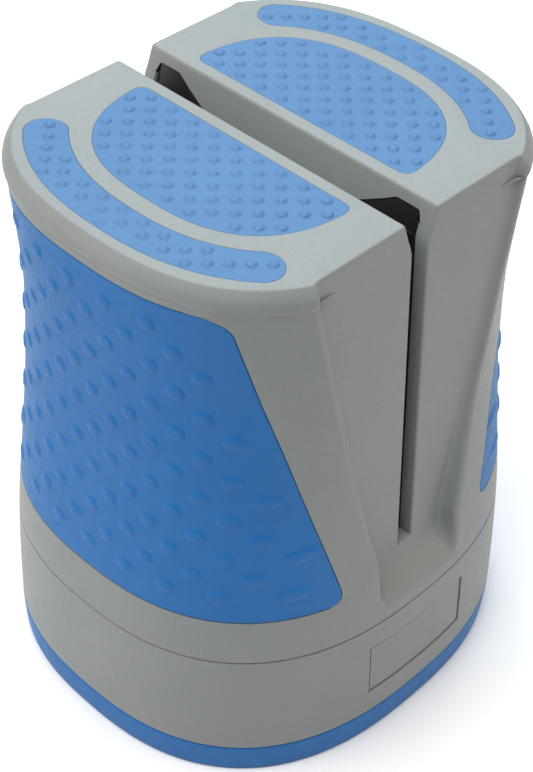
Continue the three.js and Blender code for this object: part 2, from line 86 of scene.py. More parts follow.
# soft corners of the V: each is its radius, or less where the wall is low
FILLET = {"radius": 1.3, "share": 0.45}
RIDGE_SOFT = {"radius": 1.35, "share": 0.48}
FLANGE = {"inset": 2.0, "squeeze": 0.11, "shorten": 0.9}
# black strips at the slot's faces: the guides' edges, and painted shade in the slot
GUIDE_EDGE_PAINTED_SHADE = {"clear": 0.05, "back": 2.0}
SPRING = {"y": 18.0, "radius": 4.6, "wire": 0.6, "turns": 5, "low": 15.3, "high": 29.7, "travel": 3.0}


# ---------- outlines ----------
def station(z, column):
    """A column of the stations at a height, interpolated smoothly."""
    zs, values = STATIONS[:, 0], STATIONS[:, column]
    last = len(zs) - 1
    ahead, behind = np.minimum(np.arange(last + 1) + 1, last), np.maximum(np.arange(last + 1) - 1, 0)
    slopes = (values[ahead] - values[behind]) / (zs[ahead] - zs[behind])
    i = np.clip(np.searchsorted(zs, z, side="left") - 1, 0, last - 1)
    h = zs[i + 1] - zs[i]
    t = np.clip((z - zs[i]) / h, 0, 1)
    return (values[i] * (2 * t**3 - 3 * t**2 + 1) + values[i + 1] * (3 * t**2 - 2 * t**3)
            + slopes[i] * h * (t**3 - 2 * t**2 + t) + slopes[i + 1] * h * (t**3 - t**2))


def oval(angle, a, b, n):
    """Points of a rounded-square outline with half sizes a and b."""
    c, s = np.cos(angle), np.sin(angle)
    return a * np.sign(c) * np.abs(c) ** (2 / n), b * np.sign(s) * np.abs(s) ** (2 / n)


def body_point(angle, offset, z):
    """Points of the body's outline, moved inward by an offset."""
    x, y = oval(angle, station(z, 1) - offset, station(z, 2) - offset, station(z, 3))
    return np.stack(np.broadcast_arrays(x, y, z), axis=-1)


def angle_at_x(x, z):
    """Angle at which the outline reaches a given x, where x and y are positive."""
    return np.arccos(np.clip(x / station(z, 1), 0, 1) ** (station(z, 3) / 2))


def outer_y(x, z):
    """How far out the body's face is in front of a given x."""
    n = station(z, 3)
    return station(z, 2) * (1 - np.clip(np.abs(x) / station(z, 1), 0, 1) ** n) ** (1 / n)


def ridge_x(z):
    """Where the edge of the V-shaped recess runs."""
    low = RIDGE["foot_x"] + (RIDGE["knee_x"] - RIDGE["foot_x"]) * (z - PARTING) / (RIDGE["knee_z"] - PARTING)
    rise = (z - RIDGE["knee_z"]) / (RIDGE["top_z"] - RIDGE["knee_z"])
    return np.where(z < RIDGE["knee_z"], low, RIDGE["knee_x"] + (RIDGE["top_x"] - RIDGE["knee_x"]) * rise)


def panel_y(z):
    """Distance of the leaning end panel from the middle."""
    return PANEL["top_y"] + PANEL["lean"] * (HEIGHT - z)


def smooth(t):
    t = np.clip(t, 0, 1)
    return t * t * (3 - 2 * t)


def floor_y(x, z):
    """The floor of the V recess: the leaning panel, then the scoop that runs out to the base's face."""
    out = smooth((SCOOP["top"] - z) / (SCOOP["top"] - SCOOP["foot"]))
    return panel_y(z) * (1 - out) + outer_y(x, z) * out


def slot_half(z):
    """Half width of the blade slot, which opens into a funnel at the top."""
    deep = SLOT["half"] + (THROAT - SLOT["half"]) * (z - SLOT["bottom"]) / (FUNNEL_BOTTOM - SLOT["bottom"])
    funnel = THROAT + (MOUTH - THROAT) * (z - FUNNEL_BOTTOM) / (HEIGHT - FUNNEL_BOTTOM)
    return np.where(z < FUNNEL_BOTTOM, deep, funnel)


def rounding(distance, radius):
    """How far a rounded edge drops at a distance from the edge."""
    short = np.clip(radius - distance, 0, radius)
    return radius - np.sqrt(radius**2 - short**2)


def steps(start, end, size):
    """Evenly spaced values from start to end, about size apart, both ends in."""
    return np.linspace(start, end, max(2, int(math.ceil(abs(end - start) / size)) + 1))


def joined(*runs, least=0.015):
    """Rising values from several runs, without near repeats."""
    values = np.unique(np.round(np.concatenate([np.atleast_1d(r) for r in runs]), 5))
    return values[np.concatenate([[True], np.diff(values) > least])]


# ---------- mesh building ----------
def grid_faces(rows, columns, wrap_rows=False, wrap_columns=False, mask=None):
    """Quads over a grid of points, as index rows."""
    i = np.arange(rows if wrap_rows else rows - 1)
    j = np.arange(columns if wrap_columns else columns - 1)
    i, j = np.meshgrid(i, j, indexing="ij")
    i2, j2 = (i + 1) % rows, (j + 1) % columns
    quads = np.stack([i * columns + j, i * columns + j2, i2 * columns + j2, i2 * columns + j], axis=-1)
    return quads[mask] if mask is not None else quads.reshape(-1, 4)


def slab_faces(rows, columns, mask=None):
    """Quads of a closed solid between two grids, the second one's points after the first's."""
    front = grid_faces(rows, columns, mask=mask)
    count = rows * columns
    edges = np.concatenate([front[:, [k, (k + 1) % 4]] for k in range(4)])
    known = {(int(p), int(q)) for p, q in edges}
    rim = np.array([(p, q) for p, q in known if (q, p) not in known])
    rim = rim[np.lexsort((rim[:, 1], rim[:, 0]))]
    sides = np.stack([rim[:, 1], rim[:, 0], rim[:, 0] + count, rim[:, 1] + count], axis=-1)
    return np.concatenate([front, front[:, ::-1] + count, sides])


def make_piece(name, points, faces, material, slot, body="base", replaces=(), sharp=38):
    """Makes one piece of millimetre points, in its material, riding on a body."""
    mesh = bpy.data.meshes.new(name)
    mesh.from_pydata((np.asarray(points, float).reshape(-1, 3) * MM).tolist(), [],
                     [list(map(int, f)) for f in faces])
    bm = bmesh.new()
    bm.from_mesh(mesh)
    loose = [v for v in bm.verts if not v.link_faces]
    bmesh.ops.delete(bm, geom=loose, context="VERTS")
    bmesh.ops.remove_doubles(bm, verts=bm.verts, dist=2e-7)
    bmesh.ops.recalc_face_normals(bm, faces=bm.faces)
    bm.to_mesh(mesh)
    bm.free()
    mesh.shade_smooth()
    mesh.set_sharp_from_angle(angle=math.radians(sharp))
    piece = bpy.data.objects.new(name, mesh)
    bpy.context.scene.collection.objects.link(piece)
    mesh.materials.append(material)
    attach(piece, body)
    if replaces:
        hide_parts(*replaces)
    return piece


def both_sides(name, points, faces, material, slot, cad="", **more):
    """The same piece for the right tower and, mirrored, for the left one."""
    mirrored = np.asarray(points, float) * [-1, 1, 1]
    for side, shape in (("right", points), ("left", mirrored)):
        stood_for = [f"{cad}_{side}"] if cad else []
        make_piece(f"{name}_{side}", shape, faces, material, slot, replaces=stood_for, **more)


# ---------- materials ----------
class Nodes:
    """A small helper that builds one material's node tree."""

    def __init__(self, name):
        self.material = bpy.data.materials.new(name)
        self.material.use_nodes = True
        self.tree = self.material.node_tree
        self.shader = self.tree.nodes["Principled BSDF"]
        self.where = self.tree.nodes.new("ShaderNodeTexCoord").outputs["Object"]

    def link(self, out, into):
        self.tree.links.new(out, into)

    def noise(self, scale, detail=2.0, stretch=None):
        node = self.tree.nodes.new("ShaderNodeTexNoise")
        node.inputs["Scale"].default_value = scale
        node.inputs["Detail"].default_value = detail
        where = self.where
        if stretch:
            mapping = self.tree.nodes.new("ShaderNodeMapping")
            mapping.inputs["Scale"].default_value = stretch
            self.link(where, mapping.inputs["Vector"])
            where = mapping.outputs["Vector"]
        self.link(where, node.inputs["Vector"])
        return node.outputs["Fac"]

    def ramp(self, fac, low, high, stops=(0.3, 0.7)):
        """Blends between two colours, or two grey levels, as fac rises between the stops."""
        node = self.tree.nodes.new("ShaderNodeValToRGB")
        for element, stop, value in zip(node.color_ramp.elements, stops, (low, high)):
            element.position = stop
            colour = value if isinstance(value, tuple) else (value,) * 3
            element.color = (*colour, 1)
        self.link(fac, node.inputs["Fac"])
        return node.outputs["Color"]

    def mix(self, fac, a, b):
        node = self.tree.nodes.new("ShaderNodeMix")
        node.data_type = "RGBA"
        self.link(fac, node.inputs["Factor"])
        self.link(a, node.inputs["A"])
        self.link(b, node.inputs["B"])
        return node.outputs["Result"]

    def bump(self, height, distance, strength=1.0, base=None):
        node = self.tree.nodes.new("ShaderNodeBump")
        node.inputs["Distance"].default_value = distance
        node.inputs["Strength"].default_value = strength
        self.link(height, node.inputs["Height"])
        if base:
            self.link(base, node.inputs["Normal"])
        return node.outputs["Normal"]

    def set(self, **values):
        for name, value in values.items():
            self.shader.inputs[name.replace("_", " ")].default_value = value
        return self


def grey_plastic():
    """Moulded grey ABS with a fine spark-eroded grain, a few cloudy patches and a slight sheen."""
    m = Nodes("grey_plastic").set(IOR=1.46, Coat_Weight=0.06, Coat_Roughness=0.35)
    grain = m.noise(2600, 3)
    cloud = m.noise(38, 3)
    light = m.ramp(grain, (0.212, 0.231, 0.226), (0.238, 0.258, 0.252))
    dark = m.ramp(grain, (0.200, 0.219, 0.215), (0.222, 0.242, 0.237))
    m.link(m.mix(m.ramp(cloud, 0.0, 1.0), dark, light), m.shader.inputs["Base Color"])
    m.link(m.ramp(m.noise(900, 2), 0.42, 0.54), m.shader.inputs["Roughness"])
    m.link(m.bump(grain, 0.00006, 0.55, m.bump(cloud, 0.0002, 0.15)), m.shader.inputs["Normal"])
    return m.material


def blue_rubber(name, tone, sheen):
    """Soft-touch blue overmould: matt, slightly uneven, with a fine leathery grain."""
    m = Nodes(name).set(IOR=1.35, Sheen_Weight=sheen, Sheen_Roughness=0.4)
    grain = m.noise(3200, 4)
    cloud = m.noise(55, 3)
    light, dark = (m.ramp(grain, tuple(0.92 * k * v for v in tone), tuple(k * v for v in tone))
                   for k in (1.0, 0.94))
    m.link(m.mix(m.ramp(cloud, 0.0, 1.0), dark, light), m.shader.inputs["Base Color"])
    m.link(m.ramp(m.noise(700, 2), 0.46, 0.60), m.shader.inputs["Roughness"])
    m.link(m.bump(grain, 0.00005, 0.6), m.shader.inputs["Normal"])
    return m.material


def black_plastic():
    """Smooth black acetal with faint wipe marks."""
    m = Nodes("black_plastic").set(IOR=1.48, Coat_Weight=0.1, Coat_Roughness=0.2)
    m.link(m.ramp(m.noise(120, 3), (0.010, 0.010, 0.011), (0.020, 0.020, 0.022)),
           m.shader.inputs["Base Color"])
    m.link(m.ramp(m.noise(60, 4, (1, 6, 1)), 0.28, 0.42), m.shader.inputs["Roughness"])
    m.link(m.bump(m.noise(1500, 2), 0.00002, 0.5), m.shader.inputs["Normal"])
    return m.material


def steel(name, tone, rough, stretch):
    """Drawn or turned steel with fine lines along the stretch."""
    m = Nodes(name).set(Metallic=1.0)
    lines = m.noise(400, 3, stretch)
    m.link(m.ramp(lines, tuple(0.82 * t for t in tone), tone), m.shader.inputs["Base Color"])
    m.link(m.ramp(lines, rough, rough + 0.14), m.shader.inputs["Roughness"])
    m.link(m.bump(lines, 0.00003, 0.5), m.shader.inputs["Normal"])
    return m.material


def diamond_grit():
    """Steel coated with fine diamond grit, which glints grain by grain."""
    m = Nodes("diamond_grit").set(Metallic=0.85)
    cells = m.tree.nodes.new("ShaderNodeTexVoronoi")
    cells.inputs["Scale"].default_value = 5200
    m.link(m.where, cells.inputs["Vector"])
    m.link(m.ramp(cells.outputs["Distance"], (0.44, 0.45, 0.47), (0.15, 0.155, 0.165), (0.1, 0.6)),
           m.shader.inputs["Base Color"])
    m.link(m.ramp(cells.outputs["Distance"], 0.3, 0.8, (0.1, 0.6)), m.shader.inputs["Roughness"])
    m.link(m.bump(cells.outputs["Distance"], 0.0001, 0.8), m.shader.inputs["Normal"])
    return m.material


GREY = grey_plastic()
BLUE = blue_rubber("blue_rubber", (0.010, 0.152, 0.455), 0.03)
# the pads' rubber is a paler tone of the same blue: painted sheen, the light that the upward-facing pads
# reflect
PAD_BLUE_PAINTED_SHEEN = blue_rubber("pad_rubber_painted_sheen", (0.072, 0.182, 0.365), 0.05)
BLACK = black_plastic()
ZINC = steel("zinc_steel", (0.62, 0.62, 0.60), 0.28, (3, 3, 1))
SPRING_WIRE = steel("spring_wire", (0.55, 0.56, 0.58), 0.22, (1, 1, 5))
GRIT = diamond_grit()


# ---------- camera, light and stage ----------
CAMERA = {"azimuth": -46.49, "elevation": 41.88, "roll": 1.78, "right": 2.34, "up": 49.16,
          "distance": 446.16, "lens": 82.38}


def view_axes(azimuth, elevation, roll=0.0):
    """Right, up and back directions of a view from that azimuth and elevation."""
    az, el, turn = (math.radians(v) for v in (azimuth, elevation, roll))
    back = Vector((math.sin(az) * math.cos(el), -math.cos(az) * math.cos(el), math.sin(el)))
    right = Vector((math.cos(az), math.sin(az), 0))
    up = back.cross(right)
    return (right * math.cos(turn) + up * math.sin(turn),
            up * math.cos(turn) - right * math.sin(turn), back)


def placed(thing, right, up, back, location):
    thing.matrix_world = Matrix((
        (right.x, up.x, back.x, location.x), (right.y, up.y, back.y, location.y),
        (right.z, up.z, back.z, location.z), (0, 0, 0, 1)))
    bpy.context.scene.collection.objects.link(thing)
    return thing


def make_camera():
    right, up, back = view_axes(CAMERA["azimuth"], CAMERA["elevation"], CAMERA["roll"])
    data = bpy.data.cameras.new("camera")
    data.lens = CAMERA["lens"]
    data.clip_start, data.clip_end = 0.01, 20
    place = (right * CAMERA["right"] + up * CAMERA["up"] + back * CAMERA["distance"]) * MM
    bpy.context.scene.camera = placed(bpy.data.objects.new("camera", data), right, up, back, place)


def make_softbox(name, azimuth, elevation, size, power, tint):
    """A square area light, 0.9 m away, that looks at the middle of the object."""
    right, up, back = view_axes(azimuth, elevation)
    data = bpy.data.lights.new(name, "AREA")
    data.size, data.energy, data.color = size, power, tint
    placed(bpy.data.objects.new(name, data), right, up, back, back * 0.9 + Vector((0, 0, 0.06)))


def make_stage():
    world = bpy.data.worlds.new("studio")
    world.use_nodes = True
    world.node_tree.nodes["Background"].inputs["Color"].default_value = (1, 1, 1, 1)
    world.node_tree.nodes["Background"].inputs["Strength"].default_value = 0.04
    bpy.context.scene.world = world
    bpy.context.scene.view_settings.view_transform = "Standard"
    make_softbox("top_light", -90, 76, 0.8, 11.3, (1.0, 1.0, 1.0))
    make_softbox("back_light", 134, 45, 0.8, 5.6, (0.76, 0.9, 1.0))
    make_softbox("left_light", -136, 22, 0.7, 2.3, (1.0, 0.87, 0.72))
    make_softbox("right_light", 44, 22, 0.6, 2.3, (1.0, 0.87, 0.74))
    floor = bpy.data.meshes.new("floor")
    half = 4.0
    floor.from_pydata([(-half, -half, 0), (half, -half, 0), (half, half, 0), (-half, half, 0)], [],
                      [(0, 1, 2, 3)])
    paint = Nodes("floor_paint").set(Roughness=0.7)
    paint.link(paint.ramp(paint.noise(4, 2), 0.93, 0.95), paint.shader.inputs["Base Color"])
    floor.materials.append(paint.material)
    stage = bpy.data.objects.new("floor", floor)
    bpy.context.scene.collection.objects.link(stage)


make_camera()
make_stage()


# ---------- side shells ----------
def corner_fillet(z):
    """Radius of the soft inner corner between the V's floor and its wall."""
    x = ridge_x(z) - RIDGE["step"]
    wall = np.hypot(RIDGE["step"], outer_y(ridge_x(z), z) - floor_y(x, z))
    return np.minimum(FILLET["radius"], FILLET["share"] * wall), wall


def bezier(p, q, r, count):
    """Points of a curve from p to r that is pulled towards q."""
    t = np.linspace(0, 1, count)[:, None, None]
    return (1 - t) ** 2 * p + 2 * t * (1 - t) * q + t**2 * r


def grip_edge_x(z, grow=0.0):
    """Where the grip's front edge runs, with its rounded corners."""
    inside = np.clip(z, GRIP["bottom"], GRIP["top"])
    near = np.minimum(inside - GRIP["bottom"], GRIP["top"] - inside)
    return GRIP["base_x"] + GRIP["slope"] * (inside - GRIP["base_z"]) - grow + rounding(near, GRIP["corner"])


def shell_half(z):
    """Front half of a shell's section at each height, from the V's floor to the middle of the flank."""
    xr = ridge_x(z)
    yr = -outer_y(xr, z)
    xc = xr - RIDGE["step"]
    yc = -floor_y(xc, z)
    fillet, wall = corner_fillet(z)
    ridge = np.minimum(RIDGE_SOFT["radius"], RIDGE_SOFT["share"] * wall)
    start = np.stack([xc - fillet, -floor_y(xc - fillet, z), z], -1)
    corner = np.stack([xc, yc, z], -1)
    top = np.stack([xr, yr, z], -1)
    along = (top - corner) / wall[:, None]
    along[:, 2] = 0
    after_x = xr + 0.97 * ridge
    after = np.stack([after_x, -outer_y(after_x, z), z], -1)
    inner_corner = bezier(start, corner, corner + along * fillet[:, None], 7)
    edge = bezier(top - along * ridge[:, None], top, after, 8)
    t_edge, t_grip = angle_at_x(after_x, z), angle_at_x(grip_edge_x(z, 0.05), z)
    flank_t = np.linspace(0, 1, 13)[1:, None]
    flank = body_point(-(t_edge + (t_grip - t_edge) * flank_t), 0, z[None, :])
    gap = 0.04 / station(z, 1)
    under_t = np.concatenate([[0.0], np.linspace(0, 1, 26)[1:]])[:, None]
    under_angle = -(t_grip - gap) * (1 - under_t)
    pocket = np.where((z > GRIP["bottom"] - 0.11) & (z < GRIP["top"] + 0.11), SKIN + 0.25, 0.0)
    under = body_point(under_angle, pocket[None, :], z[None, :])
    return np.concatenate([inner_corner, edge, flank, under])


def inward(section, thick):
    """A section's points moved inward, square to its own run."""
    run = np.gradient(section, axis=0)
    run[..., 2] = 0
    run /= np.maximum(np.linalg.norm(run, axis=-1, keepdims=True), 1e-9)
    normal = np.stack([-run[..., 1], run[..., 0], 0 * run[..., 0]], -1)
    return section + normal * thick


def side_shell():
    top = LIP_BOTTOM - np.array([0.6, 0.3, 0.02])
    z = joined([PARTING + SEAM, PARTING + 0.22, PARTING + 0.4],
               steps(PARTING + 0.5, GRIP["bottom"] - 0.5, 0.8),
               [GRIP["bottom"] - 0.12, GRIP["bottom"] - 0.1], steps(GRIP["bottom"], GRIP["bottom"] + 4, 0.4),
               steps(GRIP["bottom"] + 5, GRIP["top"] - 5, 1.2), steps(GRIP["top"] - 4, GRIP["top"], 0.4),
               [GRIP["top"] + 0.1, GRIP["top"] + 0.12], top)
    half = shell_half(z)
    chamfer = rounding(z - (PARTING + SEAM), EDGE)
    half[..., 0] -= chamfer * np.sign(half[..., 0]) * (half[..., 0] > RIDGE["foot_x"] + 3)
    half[..., 1] += chamfer
    back = half[::-1][1:] * [1, -1, 1]
    section = np.concatenate([half, back])
    count = len(section)
    place = np.minimum(np.arange(count), count - 1 - np.arange(count))
    thick = (0.8 + (2.6 - 0.8) * smooth((place - 14) / 12))[:, None, None]
    base = section.copy()
    grip = place > 26
    outward = base[grip][..., :2]
    base[grip, :, :2] = outward - outward / np.linalg.norm(outward, axis=-1, keepdims=True)
    inner = inward(section, thick)
    inner[grip] = base[grip]
    points = np.stack([section.transpose(1, 0, 2), inner.transpose(1, 0, 2)])
    rows, columns = len(z), count
    both_sides("side_shell", points, slab_faces(rows, columns), GREY, "grey_shell", cad="side_shell")


# ---------- side grips ----------
BUMP = {"first_y": 16.35, "pitch_y": 5.177, "first_z": 60.64, "pitch_z": 10.394,
        "half_y": 1.95, "half_z": 1.75, "high": 0.42, "clear_edge": 4.5, "clear_low": 3.5, "clear_top": 2.8}


def bumps(y, z):
    """Height of the low ovals, laid in staggered columns and drawn straight out to the side."""
    column = np.round((y + BUMP["first_y"]) / BUMP["pitch_y"])
    centre_y = -BUMP["first_y"] + column * BUMP["pitch_y"]
    shift = np.where(column % 2 == 0, 0, BUMP["pitch_z"] / 2)
    row = np.round((z - BUMP["first_z"] - shift) / BUMP["pitch_z"])
    centre_z = BUMP["first_z"] + shift + row * BUMP["pitch_z"]
    reach = np.hypot((y - centre_y) / BUMP["half_y"], (z - centre_z) / BUMP["half_z"])
    edge_y = outer_y(grip_edge_x(centre_z) + BUMP["clear_edge"], centre_z)
    fits = ((np.abs(centre_y) < edge_y) & (centre_z > GRIP["bottom"] + BUMP["clear_low"])
            & (centre_z < GRIP["top"] - BUMP["clear_top"]))
    return BUMP["high"] * np.clip(1 - reach**3, 0, 1) ** 0.7 * fits


def side_grip():
    gap, soft = 0.04, 0.35
    low, high = GRIP["bottom"] + gap, GRIP["top"] - gap
    edge_rows = np.array([0, 0.05, 0.12, 0.22, 0.34, 0.48])
    z = joined(low + edge_rows, steps(low + 0.6, high - 0.6, 0.36), high - edge_rows)
    edge = angle_at_x(grip_edge_x(z, -gap), z)
    turn = np.concatenate([edge_rows, steps(0.7, 50, 0.36)]) / 50
    turn = np.concatenate([turn / 2, 1 - turn[::-1][1:] / 2])
    angle = edge * (2 * turn[:, None] - 1)
    shape = body_point(angle, 0, z[None, :])
    run = np.linalg.norm(np.diff(shape, axis=0), axis=-1)
    from_edge = np.concatenate([np.zeros((1, len(z))), np.cumsum(run, axis=0)])
    to_edge = from_edge[-1] - from_edge
    near = np.minimum(np.minimum(from_edge, to_edge), np.minimum(z - low, high - z)[None, :])
    drop = rounding(near, soft) - bumps(shape[..., 1], shape[..., 2])
    front = body_point(angle, drop, z[None, :])
    back = body_point(angle, SKIN, z[None, :])
    points = np.stack([front.transpose(1, 0, 2), back.transpose(1, 0, 2)])
    both_sides("side_grip", points, slab_faces(len(z), len(turn)), BLUE, "blue_rubber", cad="side_grip")


# ---------- end panels ----------
def end_panel():
    """The V's floor with the blade slot in it, and the scoop below, as one grid."""
    soft = 0.5
    near = np.array([0, 0.04, 0.12, 0.24, 0.38, 0.52])
    bottom = SLOT["bottom"]
    z = joined([PARTING + SEAM, PARTING + 0.22, PARTING + 0.4], steps(PARTING + 0.5, bottom - 0.7, 0.45),
               bottom - near, steps(bottom + 0.4, LIP_BOTTOM, 1.4), [LIP_BOTTOM])
    fillet, _ = corner_fillet(z)
    reach = ridge_x(z) - RIDGE["step"] - fillet - 0.03
    half = slot_half(z)
    out = np.concatenate([half + near[:, None], half + 0.52 + (reach - half - 0.52)
                          * np.linspace(0, 1, 16)[1:, None]])
    middle = half * np.linspace(-1, 1, 9)[1:-1, None]
    x = np.concatenate([-out[::-1], middle, out])
    zz = np.broadcast_to(z, x.shape)
    to_slot = np.hypot(np.maximum(np.abs(x) - half, 0), np.maximum(bottom - zz, 0))
    chamfer = rounding(zz - (PARTING + SEAM), EDGE)
    y = -floor_y(x, zz) + rounding(to_slot, soft) + chamfer
    front = np.stack([x, y, zz], -1).transpose(1, 0, 2)
    back = np.stack([x, -np.minimum(panel_y(zz), -y) + PANEL["thick"], zz], -1).transpose(1, 0, 2)
    rows, columns = len(z), len(x)
    mask = np.ones((rows - 1, columns - 1), bool)
    first = len(out) - 1
    mask[z[:-1] >= bottom - 1e-6, first:first + len(middle) + 1] = False
    faces = slab_faces(rows, columns, mask)
    points = np.stack([front, back])
    turned = points * [-1, -1, 1]
    make_piece("end_panel_front", points, faces, GREY, "grey_shell", replaces=["deck"])
    make_piece("end_panel_back", turned, faces, GREY, "grey_shell")


# ---------- blade guides' edges, whose black is partly painted shade in the slot ---
def guide_edge_painted_shade():
    """Black edges that carry the blade guides out to the leaning panels; their black also stands as painted
    shade, the dark deep in the slot's walls.
    """
    z = joined(steps(SLOT["bottom"] + 0.4, FUNNEL_BOTTOM, 4.0), [LIP_BOTTOM - 0.1])
    near = np.full_like(z, WINDOW["end"] + 0.02)
    far = panel_y(z) - PANEL["thick"] - 0.1
    face = np.maximum(slot_half(z), THROAT)
    for end, turn in (("front", -1), ("back", 1)):
        points = np.stack([[np.stack([face + deep, turn * y, z], -1) for y in (near, far)]
                           for deep in (GUIDE_EDGE_PAINTED_SHADE["clear"], GUIDE_EDGE_PAINTED_SHADE["back"])])
        both_sides(f"guide_edge_{end}", points, slab_faces(2, len(z)), BLACK, "black_plastic")


# ---------- tower caps ----------
# profile of a cap's curved rim, from its underside to its top: height and how far it is set in
RIM_PROFILE = [(LIP_BOTTOM, 0.42), (130.8, 0.36), (131.1, 0.2), (131.6, 0.05), (132.2, 0), (133.1, 0.2),
               (134.1, 0.75), (134.9, 1.35), (HEIGHT - 0.24, 1.68), (HEIGHT - 0.08, 1.84),
               (HEIGHT - 0.02, 1.96), (HEIGHT, 2.15)]


def rim_end(y, inset, rim=RIM):
    """Angle at which a curved rim reaches a given y."""
    return np.arcsin((y / (rim["bulge"] - inset)) ** (rim["squareness"] / 2))


def quad(p, q, r, count):
    t = np.linspace(0, 1, count)[:, None]
    return (1 - t) ** 2 * np.array(p) + 2 * t * (1 - t) * np.array(q) + t**2 * np.array(r)


def turned_corner(before, corner, after, radius, count):
    """A rounded corner between two straight runs."""
    corner = np.array(corner)
    ends = []
    for other in (before, after):
        way = np.array(other) - corner
        length = np.linalg.norm(way)
        ends.append(corner + way / length * min(radius, 0.42 * length))
    return quad(ends[0], corner, ends[1], count)


def cap_outline(z, inset, squeeze=1.0):
    """A cap's closed outline at a height, counter-clockwise from the slot's front corner.

    The front follows the leaning panel, then the V's wall out to the ridge, then the curved rim.
    A squeeze below one draws the outline in towards the slot, for the funnel's flange.
    """
    edge = rounding(HEIGHT - z, 0.4)
    xs = float(slot_half(np.float64(z))) + edge
    yf = float(panel_y(z)) - edge
    a, b, n = RIM["half_width"] - inset, RIM["bulge"] - inset, RIM["squareness"]
    ridge = RIDGE["top_x"]
    y_ridge = max(float(b * (1 - (ridge / a) ** n) ** (1 / n)), yf + 0.05)
    end = rim_end(y_ridge, inset)
    rim = np.stack(oval(np.linspace(-end, end, 90), a, b, n), -1)
    wall_foot = (min(ridge - RIDGE["step"], rim[0][0] - 0.25), -yf)
    outline = [turned_corner((xs, 0), (xs, -yf), wall_foot, 0.8, 7),
               turned_corner((xs, -yf), wall_foot, rim[0], 0.8, 5),
               turned_corner(wall_foot, rim[0], rim[2], 1.2, 8), rim[2:45]]
    half = np.concatenate(outline)
    if squeeze < 1:
        half = np.stack([xs + (half[:, 0] - xs) * squeeze, half[:, 1] * FLANGE["shorten"]], -1)
    return np.concatenate([half, (half * [1, -1])[::-1]])


def dpad_outline(grow, count=60):
    """The palm pad's outline, as rows of y with its inner and outer x."""
    top = DPAD["half_y"] + grow - 0.15
    t = np.linspace(-1, 1, count)
    y = top * np.sign(t) * (1 - (1 - np.abs(t)) ** 1.6)
    reach, half = DPAD["out_x"] - DPAD["centre_x"] + grow, DPAD["half_y"] + grow
    n = DPAD["squareness"]
    outer = DPAD["centre_x"] + reach * (1 - np.abs(y / half) ** n) ** (1 / n)
    inner = DPAD["in_x"] - grow + rounding(top - np.abs(y), DPAD["corner"] + grow)
    return y, np.minimum(inner, outer - 0.02), outer


def arc_edges(grow, count=90):
    """The arc pad's angles, with the insets of its outer and inner edge at each."""
    middle = (ARCPAD["outer"] + ARCPAD["inner"]) / 2
    a, b, n = ARCPAD["half_width"] - middle, ARCPAD["bulge"] - middle, ARCPAD["squareness"]
    end = np.arcsin(((ARCPAD["tip_y"] + grow) / b) ** (n / 2))
    t = np.linspace(-1, 1, count)
    angle = end * np.sign(t) * (1 - (1 - np.abs(t)) ** 1.7)
    x, y = oval(angle, a, b, n)
    run = np.concatenate([[0], np.cumsum(np.hypot(np.diff(x), np.diff(y)))])
    from_tip = np.minimum(run, run[-1] - run)
    half = (ARCPAD["inner"] - ARCPAD["outer"]) / 2 + grow
    width = half - rounding(from_tip, half)
    width = np.maximum(width, 0.02)
    return angle, middle - width, middle + width


def arc_points(angle, inset):
    x, y = oval(angle, ARCPAD["half_width"] - inset, ARCPAD["bulge"] - inset, ARCPAD["squareness"])
    return np.stack([x, y], -1)


def dpad_loop(grow):
    y, inner, outer = dpad_outline(grow)
    return np.concatenate([np.stack([outer, y], -1), np.stack([inner, y], -1)[::-1]])


def arc_loop(grow):
    angle, near, far = arc_edges(grow)
    return np.concatenate([arc_points(angle, near), arc_points(angle, far)[::-1]])


POCKET = {"gap": 0.03, "deep": 1.4}


def add_loop(bm, outline, z):
    """Adds a closed loop of points at a height and returns its vertices."""
    return [bm.verts.new((x, y, z)) for x, y in outline]


def bridge(bm, low, high):
    """Quads between two loops of the same length."""
    for k in range(len(low)):
        after = (k + 1) % len(low)
        bm.faces.new((low[k], low[after], high[after], high[k]))


def encloses(loop, points):
    """Which of the points lie inside a closed loop."""
    here, after = loop[:, None], np.roll(loop, -1, 0)[:, None]
    spans = (here[..., 1] > points[:, 1]) != (after[..., 1] > points[:, 1])
    rise = np.where(spans, after[..., 1] - here[..., 1], 1)
    crossing = here[..., 0] + (after[..., 0] - here[..., 0]) * (points[:, 1] - here[..., 1]) / rise
    return (spans & (points[:, 0] < crossing)).sum(0) % 2 == 1


def fill(bm, loops):
    """Triangles over a flat area bounded by the first loop, with the others as holes."""
    corners = [vertex for loop in loops for vertex in loop]
    sizes = [len(loop) for loop in loops]
    starts = np.cumsum([0, *sizes[:-1]])
    edges = [(int(start + k), int(start + (k + 1) % size))
             for start, size in zip(starts, sizes) for k in range(size)]
    found = delaunay_2d_cdt([vertex.co.xy for vertex in corners], edges, [], 0, 1e-6)
    flat, triangles = np.array([tuple(p) for p in found[0]]), found[2]
    middles = flat[np.array(triangles)].mean(1)
    outer, *holes = [np.array([tuple(vertex.co.xy) for vertex in loop]) for loop in loops]
    kept = encloses(outer, middles)
    for hole in holes:
        kept &= ~encloses(hole, middles)
    for triangle, stays in zip(triangles, kept):
        if stays:
            bm.faces.new([corners[found[3][k][0]] for k in triangle])


